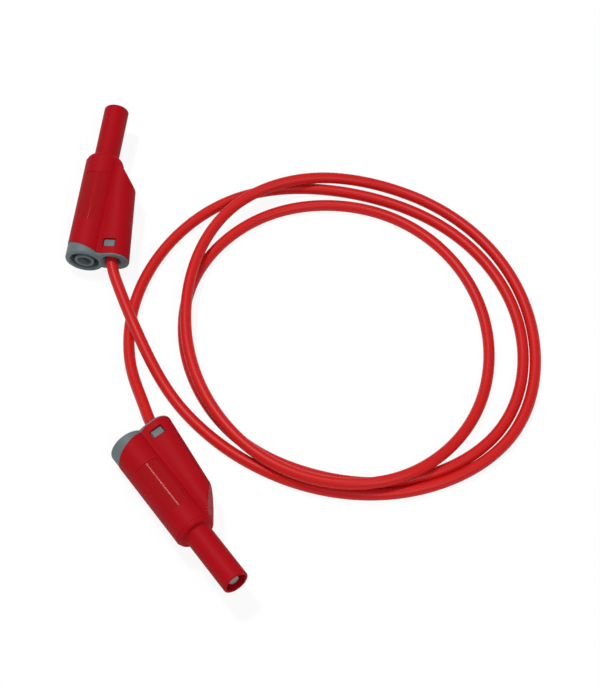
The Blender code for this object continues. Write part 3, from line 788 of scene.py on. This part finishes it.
    def housing(self, name: str) -> bpy.types.Object:
        """Red moulding, with its panels, windows and cavity."""
        body = put(name, self.housing_skin())
        combine(body, self.behind_parting(0.0), Operation.CUT)
        for side in (1, -1):
            combine(body, self.panel_cutter(side), Operation.CUT)
        combine(body, self.housing_bore(), Operation.CUT)
        end = self.length + 2 * self.over
        combine(body, self.lobe_block(self.cavity, end, self.lobe_wall, self.cavity_root), Operation.CUT)
        rear = self.length - self.window_from_rear
        height = self.lobe_half_height + self.over
        half = self.window_width / 2
        window = block((rear - self.window_length, self.window_centre - half, -height),
                       (rear, self.window_centre + half, height))
        combine(body, window, Operation.CUT)
        return body

    def cap_shell(self, name: str) -> bpy.types.Object:
        """Outer form of the rear cap: a round-edged disc and the end of the lobe."""
        front = self.parting_front
        inset = self.barrel_radius - self.cap_radius
        edge = self.cap_lobe_edge
        skin = [(front, 0.0)]
        skin += [(x, self.cap_radius) for x in np.linspace(front, self.lobe_rear - edge, self.cap_stations)]
        quarter = np.radians(np.linspace(0, 90, self.edge_chords + 1))
        skin += [(self.lobe_rear - edge + edge * math.sin(t), self.cap_radius) for t in quarter[1:]]
        skin += [(self.lobe_rear, 0.0)]
        bm = turned(skin, self.skin_facets)
        for vert in bm.verts:
            x, y, z = vert.co
            radius = math.hypot(y, z)
            if radius < self.cap_radius / 2:
                continue
            into = edge - math.sqrt(max(edge ** 2 - max(x - (self.lobe_rear - edge), 0.0) ** 2, 0.0))
            lobe = self.lobe_radius(x, math.atan2(z, y), inset)
            scale = (smooth_max(radius, lobe, self.valley_blend) - into) / radius
            vert.co = (x, y * scale, z * scale)
        body = put(name, bm)
        corner = (self.length - self.cap_edge, self.cap_radius - self.cap_edge)
        disc = [(front, 0.0), (front, self.cap_radius - WELD * 10)]
        disc += arc(corner, self.cap_edge, 90, 0, self.cap_chords)
        disc += [(self.length, 0.0)]
        combine(body, turned(disc, self.skin_facets), Operation.JOIN)
        combine(body, self.behind_parting(self.seam), Operation.KEEP_COMMON)
        return body

    def groove_cutter(self) -> bmesh.types.BMesh:
        """Ring groove that another plug's sleeve enters."""
        rear = self.length + self.over
        floor = self.groove_front
        lead = self.length - self.mouth_chamfer
        flare = self.mouth_chamfer + self.over
        return turned([
            (floor, self.post_radius), (floor, self.groove_radius), (lead, self.groove_radius),
            (rear, self.groove_radius + flare), (rear, self.post_radius - flare), (lead, self.post_radius),
        ], self.bore_facets)

    def socket_cutter(self) -> bmesh.types.BMesh:
        """Bore for the socket, wider inside where the contact tube sits."""
        pocket = self.socket_bore + self.socket_wall + self.gap
        seat = self.length - self.socket_setback + self.gap
        front = self.groove_front - self.groove_floor - self.over
        rear = self.length + self.over
        return turned([
            (front, 0.0), (front, pocket), (seat, pocket), (seat, self.post_bore),
            (self.length - self.mouth_chamfer, self.post_bore),
            (rear, self.post_bore + self.mouth_chamfer + self.over), (rear, 0.0),
        ], self.bore_facets)

    def bell_cutter(self) -> bmesh.types.BMesh:
        """Bell mouth that lets the cord bend as it leaves."""
        throat = self.cord_radius + self.gap
        start = self.lobe_rear - self.bell_length
        front = self.lobe_rear - self.block_length - self.over
        rear = self.lobe_rear + 2 * self.over
        profile = [(front, 0.0), (front, throat)]
        for angle in np.radians(np.linspace(0, 90, self.bell_chords + 1)):
            flare = throat + (self.bell_radius - throat) * (1 - math.cos(angle))
            profile.append((start + self.bell_length * math.sin(angle), flare))
        profile += [(rear, self.bell_radius), (rear, 0.0)]
        return turned(profile, self.bore_facets, self.cord_offset)

    def rear_cap(self, name: str) -> bpy.types.Object:
        """Grey moulding with the socket's ring post and groove, the cord's mouth and the snap tabs."""
        body = self.cap_shell(name)
        inner = self.lobe_wall + self.gap
        wall = self.cavity_radius - self.gap
        front = self.groove_front - self.groove_floor
        back = self.lobe_rear - self.over
        guard = turned([(front, 0.0), (front, wall), (back, wall), (back, 0.0)], self.bore_facets)
        combine(body, guard, Operation.JOIN)
        insert = self.lobe_block(self.lobe_rear - self.block_length, back, inner, self.block_root)
        combine(body, insert, Operation.JOIN)
        rear = self.length - self.window_from_rear - self.gap
        start = rear - self.window_length + 2 * self.gap
        half = self.window_width / 2 - self.gap
        height = self.lobe_half_height - self.tab_recess
        tabs = block((start, self.window_centre - half, -height),
                     (rear, self.window_centre + half, height), self.tab_edge)
        combine(body, tabs, Operation.JOIN)
        for cutter in (self.groove_cutter(), self.socket_cutter(), self.bell_cutter()):
            combine(body, cutter, Operation.CUT)
        return body

    def contact_pin(self, name: str) -> bpy.types.Object:
        """Turned pin: round nose, waist for the cage, flange, stem and rear spigot."""
        flange = self.sleeve_length + self.pin_web
        spigot = self.spigot_front
        stem = spigot - self.stem_length
        end = spigot + self.spigot_length
        waist_end = self.waist_start + self.waist_length
        bevel = self.flange_chamfer
        nose = (self.pin_recess + self.pin_nose, self.pin_radius - self.pin_nose)
        profile = [(self.pin_recess, 0.0)] + arc(nose, self.pin_nose, 180, 90, self.nose_chords)
        profile += [(self.waist_start, self.pin_radius), (self.waist_start, self.waist_radius)]
        profile += [(waist_end, self.waist_radius), (waist_end, self.pin_radius)]
        profile += [(flange, self.pin_radius), (flange, self.flange_radius - bevel)]
        profile += [(flange + bevel, self.flange_radius), (stem - bevel, self.flange_radius)]
        profile += [(stem, self.flange_radius - bevel), (stem, self.stem_radius)]
        profile += [(spigot, self.stem_radius), (spigot, self.spigot_radius)]
        profile += [(end, self.spigot_radius), (end, 0.0)]
        return put(name, turned(profile, self.bore_facets))

    def lamella_cage(self, name: str) -> bpy.types.Object:
        """Sprung sleeve in the pin's waist: two bands joined by strips that bow outward."""
        front = self.waist_start + self.gap
        rear = self.waist_start + self.waist_length - self.gap
        inner = self.waist_radius + self.gap
        inside = []
        for x in np.linspace(front, rear, self.cage_chords + 1):
            bulge = self.cage_bulge * math.sin(math.pi * (x - front) / (rear - front))
            inside.append((float(x), inner + bulge))
        outside = [(x, radius + self.cage_wall) for x, radius in reversed(inside)]
        body = put(name, turned(inside + outside, self.bore_facets))
        reach = inner + self.cage_bulge + self.cage_wall + self.over
        for index in range(self.cage_slot_pairs):
            slot = block((front + self.cage_band, -self.cage_slot / 2, -reach),
                         (rear - self.cage_band, self.cage_slot / 2, reach))
            turn = Matrix.Rotation(math.pi * (index + 0.5) / self.cage_slot_pairs, 4, "X")
            bmesh.ops.transform(slot, matrix=turn, verts=slot.verts)
            combine(body, slot, Operation.CUT)
        return body

    def socket_contact(self, name: str) -> bpy.types.Object:
        """Turned tube with a 4 mm bore, its front pocket on the pin's spigot."""
        spigot_end = self.spigot_front + self.spigot_length
        front = self.spigot_front + self.strap_thickness + 2 * self.gap
        rear = self.length - self.socket_setback
        floor = self.socket_bore_front
        pocket = self.spigot_radius + self.gap
        outer = self.socket_bore + self.socket_wall
        return put(name, turned([
            (front, pocket), (front, outer), (rear, outer), (rear, self.socket_bore),
            (floor + self.socket_bore / 2, self.socket_bore), (floor, 0.0),
            (spigot_end + self.gap, 0.0), (spigot_end + self.gap, pocket),
        ], self.bore_facets))

    def paint_panels(self, body: bpy.types.Object) -> None:
        """Give the panels' floors the housing's second material, the polished one."""
        floor = self.barrel_radius - self.panel_depth
        start = self.sleeve_length + self.panel_start
        for face in body.data.polygons:
            x, y, z = face.center
            is_end_wall = abs(face.normal.x) >= 0.5
            at_floor = abs(math.hypot(y, z) - floor) < self.panel_paint_reach
            if start < x < start + self.panel_length and at_floor and not is_end_wall:
                face.material_index = 1

    def dress(self, place: PlugPlace) -> None:
        """Build every piece of one plug where it lies."""
        makers = {
            "housing": (self.housing, (HOUSING_RED, PANEL_RED), "red_plastic"),
            "rear_cap": (self.rear_cap, (CAP_GREY,), "grey_plastic"),
            "contact_pin": (self.contact_pin, (NICKEL_WITH_PAINTED_SHADE,), "nickel_plated_brass"),
            "lamella_cage": (self.lamella_cage, (NICKEL_WITH_PAINTED_SHADE,), "nickel_plated_brass"),
            "socket_contact": (self.socket_contact, (NICKEL_WITH_PAINTED_SHADE,), "nickel_plated_brass"),
        }
        for piece_name, (make, materials, slot) in makers.items():
            node = f"{place.label}_{piece_name}"
            piece = make(f"{node}_look")
            piece.data.materials.clear()
            for material in materials:
                piece.data.materials.append(material)
            if piece_name == "housing":
                self.paint_panels(piece)
            piece.data.transform(place.matrix())
            piece.data.shade_smooth()
            piece.data.set_sharp_from_angle(angle=SMOOTH_LIMIT)
            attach(piece, "root")
            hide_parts(node)
            LOG.info("%s: %d faces", piece.name, len(piece.data.polygons))


@dataclass
class Cord:
    """The flexible cord, in two and a half loose loops from plug to plug."""

    radius: float = CORD_RADIUS
    length: float = 1.128
    step: float = 2.0 * MM
    bevel_resolution: int = 7

    # The part's route in metres, its floor heights rounded down. Most points were chosen among places that
    # a scratch script measured in the photograph, and scratch scripts then moved them to the cord's edges
    #         # and then moved to the cord's edges
    ROUTE = (
        (-0.01397, 0.03868, 0.00840), (-0.01449, 0.03472, 0.00812), (-0.01523, 0.02919, 0.00771),
        (-0.0132, 0.0206, 0.0067), (-0.0061, 0.0030, 0.0056), (0.0047, -0.0173, 0.0023),
        (0.0259, -0.0390, 0.0018), (0.0484, -0.0498, 0.0018), (0.0778, -0.0514, 0.0018),
        (0.1098, -0.0332, 0.0018), (0.1187, 0.0104, 0.0018), (0.0987, 0.0473, 0.0018),
        (0.0667, 0.0634, 0.0028), (0.0474, 0.0628, 0.0054), (0.0254, 0.0527, 0.0059),
        (0.0092, 0.0138, 0.0057), (0.0173, -0.0223, 0.0058), (0.0333, -0.0412, 0.0058),
        (0.0544, -0.0502, 0.0058), (0.0754, -0.0486, 0.0058), (0.0900, -0.0389, 0.0044),
        (0.1032, -0.0155, 0.0018), (0.1004, 0.0229, 0.0018), (0.0743, 0.0501, 0.0018),
        (0.0359, 0.0508, 0.0018), (0.0109, 0.0241, 0.0018), (0.0130, -0.0143, 0.0018),
        (0.0288, -0.0353, 0.0018), (0.0491, -0.0456, 0.0018), (0.0762, -0.0479, 0.0018),
        (0.1064, -0.0310, 0.0018), (0.1148, 0.0099, 0.0018), (0.0953, 0.0435, 0.0018),
        (0.0659, 0.0585, 0.0018), (0.0241, 0.0572, 0.0018), (-0.0062, 0.0213, 0.0018),
        (-0.0070, -0.0106, 0.0029), (-0.0027, -0.0233, 0.0050), (0.00152, -0.03366, 0.00719),
        (0.00473, -0.03821, 0.00779), (0.00703, -0.04146, 0.00822),
    )

    def spline(self) -> np.ndarray:
        """Points along a natural cubic spline through the route."""
        points = np.array(self.ROUTE)
        spans = np.linalg.norm(np.diff(points, axis=0), axis=1)
        slopes = np.diff(points, axis=0) / spans[:, None]
        system = np.eye(len(points))
        right = np.zeros_like(points)
        for i in range(1, len(points) - 1):
            system[i, i - 1:i + 2] = (spans[i - 1], 2 * (spans[i - 1] + spans[i]), spans[i])
            right[i] = 6 * (slopes[i] - slopes[i - 1])
        bend = np.linalg.solve(system, right)
        curve = []
        for i, span in enumerate(spans):
            samples = max(2, round(span / self.step))
            for sample in range(samples):
                t = span * sample / samples
                start = slopes[i] - span * (2 * bend[i] + bend[i + 1]) / 6
                cubic = (bend[i + 1] - bend[i]) / (6 * span)
                curve.append(points[i] + start * t + bend[i] / 2 * t ** 2 + cubic * t ** 3)
        curve.append(points[-1])
        route = np.array(curve)
        route[:, 2] = np.maximum(route[:, 2], self.radius)
        return route

    def dress(self, place: PlugPlace, plug: Plug) -> None:
        """Args:
            place: Where the plug that the cord starts in lies; not used.
            plug: That plug's sizes; not used.
        """
        route = self.spline()
        data = bpy.data.curves.new("cord_look", "CURVE")
        data.dimensions = "3D"
        data.bevel_depth = self.radius
        data.bevel_resolution = self.bevel_resolution
        data.use_fill_caps = True
        line = data.splines.new("POLY")
        line.points.add(len(route) - 1)
        for point, spot in zip(line.points, route):
            point.co = (*spot, 1.0)
        line.use_smooth = True
        data.materials.append(CORD_JACKET)
        cord = bpy.data.objects.new("cord_look", data)
        bpy.context.scene.collection.objects.link(cord)
        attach(cord, "root")
        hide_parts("cord")
        LOG.info("cord: %d points", len(route))


@dataclass
class Studio:
    """White paper, three lamps, a pale room and the camera at the photograph's place."""

    target: Point3 = (0.04544, 0.00147, 0.0)
    elevation: float = math.radians(58.869)
    distance: float = 0.552
    focal_px: float = 1736.13
    frame_height_px: float = 689.0
    sensor_mm: float = 24.0
    floor_size: float = 6.0

    def camera(self) -> None:
        """Stand the camera where the photograph was taken from."""
        data = bpy.data.cameras.new("camera")
        data.sensor_fit = "VERTICAL"
        data.sensor_height = self.sensor_mm
        data.lens = self.focal_px / self.frame_height_px * self.sensor_mm
        data.clip_start = 0.01
        camera = bpy.data.objects.new("camera", data)
        bpy.context.scene.collection.objects.link(camera)
        back = Vector((0.0, -math.cos(self.elevation), math.sin(self.elevation)))
        camera.location = Vector(self.target) + back * self.distance
        camera.rotation_euler = Euler((math.pi / 2 - self.elevation, 0.0, 0.0))
        bpy.context.scene.camera = camera

    def floor(self) -> None:
        """Lay the white paper."""
        bm = bmesh.new()
        bmesh.ops.create_grid(bm, x_segments=1, y_segments=1, size=self.floor_size / 2)
        floor = put("studio_floor", bm)
        floor.data.materials.append(PAPER)

    def softbox(self, name: str, place: Point3, size: Point, power: float) -> None:
        """Hang one soft lamp that points at the lead.

        Args:
            name: The lamp's name.
            place: Where it hangs.
            size: Its width and height, in metres.
            power: Its power, in watts.
        """
        data = bpy.data.lights.new(name, "AREA")
        data.shape = "RECTANGLE"
        data.size, data.size_y = size
        data.energy = power
        lamp = bpy.data.objects.new(name, data)
        bpy.context.scene.collection.objects.link(lamp)
        lamp.location = place
        toward = Vector(self.target) - Vector(place)
        lamp.rotation_euler = toward.to_track_quat("-Z", "Y").to_euler()

    def world(self, strength: float, mirrored_strength: float) -> None:
        """Light the scene evenly from all round, white to the camera and dim to glossy surfaces.

        Args:
            strength: How bright the room lights the object.
            mirrored_strength: How bright the room looks in a glossy surface.
        """
        world = bpy.data.worlds.new("studio_room")
        world.use_nodes = True
        tree = world.node_tree
        tree.nodes.clear()
        path = add_node(tree, "ShaderNodeLightPath")
        mirrored = add_node(tree, "ShaderNodeMix", {"data_type": "FLOAT"}, {
            0: path.outputs["Is Glossy Ray"], 2: strength, 3: mirrored_strength,
        })
        level = add_node(tree, "ShaderNodeMix", {"data_type": "FLOAT"}, {
            0: path.outputs["Is Camera Ray"], 2: mirrored.outputs[0], 3: 1.0,
        })
        room = add_node(tree, "ShaderNodeBackground", inputs={
            "Color": WHITE, "Strength": level.outputs[0],
        })
        add_node(tree, "ShaderNodeOutputWorld", inputs={"Surface": room.outputs[0]})
        bpy.context.scene.world = world

    def build(self) -> None:
        """Set up camera, floor, lamps and room.

        The small glint lamp draws the thin streak on the lower plug's panel.
        """
        self.camera()
        self.floor()
        self.softbox("overhead_lamp", place=(-0.30, 0.29, 1.1), size=(0.12, 0.12), power=6.8)
        self.softbox("front_fill_lamp", place=(0.30, -0.45, 0.70), size=(0.4, 0.3), power=2.1)
        self.softbox("glint_lamp", place=(-0.303, 0.441, 0.82), size=(0.08, 0.08), power=0.10)
        self.world(strength=0.3, mirrored_strength=0.2)
        bpy.context.scene.view_settings.view_transform = "Standard"


@dataclass
class InnerParts:
    """Pieces sealed inside the plugs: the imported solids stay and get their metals."""

    labels: Iterable[str] = ("plug_a", "plug_b")

    def dress(self) -> None:
        """Give each sealed piece its metal."""
        metals = {"terminal_strap": TINNED, "strain_relief_ring": TINNED, "conductor_end": COPPER}
        for label in self.labels:
            for name, metal in metals.items():
                node = frame["nodes"][f"{label}_{name}"]
                node.data.materials.clear()
                node.data.materials.append(metal)


def main() -> None:
    """Build the studio, the cord, the two plugs and their inner parts, in that order."""
    logging.basicConfig(level=logging.INFO)
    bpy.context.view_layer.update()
    Studio().build()
    plug = Plug()
    ring = plug.rim_mount_radius
    places = [
        PlugPlace.from_record("plug_a", lobe_turn=1, lobe_lift=9.01, ring_radius=ring),
        PlugPlace.from_record("plug_b", lobe_turn=-1, lobe_lift=5.64, ring_radius=ring),
    ]
    Cord().dress(places[0], plug)
    for place in places:
        plug.dress(place)
    InnerParts().dress()


if __name__ == "__main__":
    main()
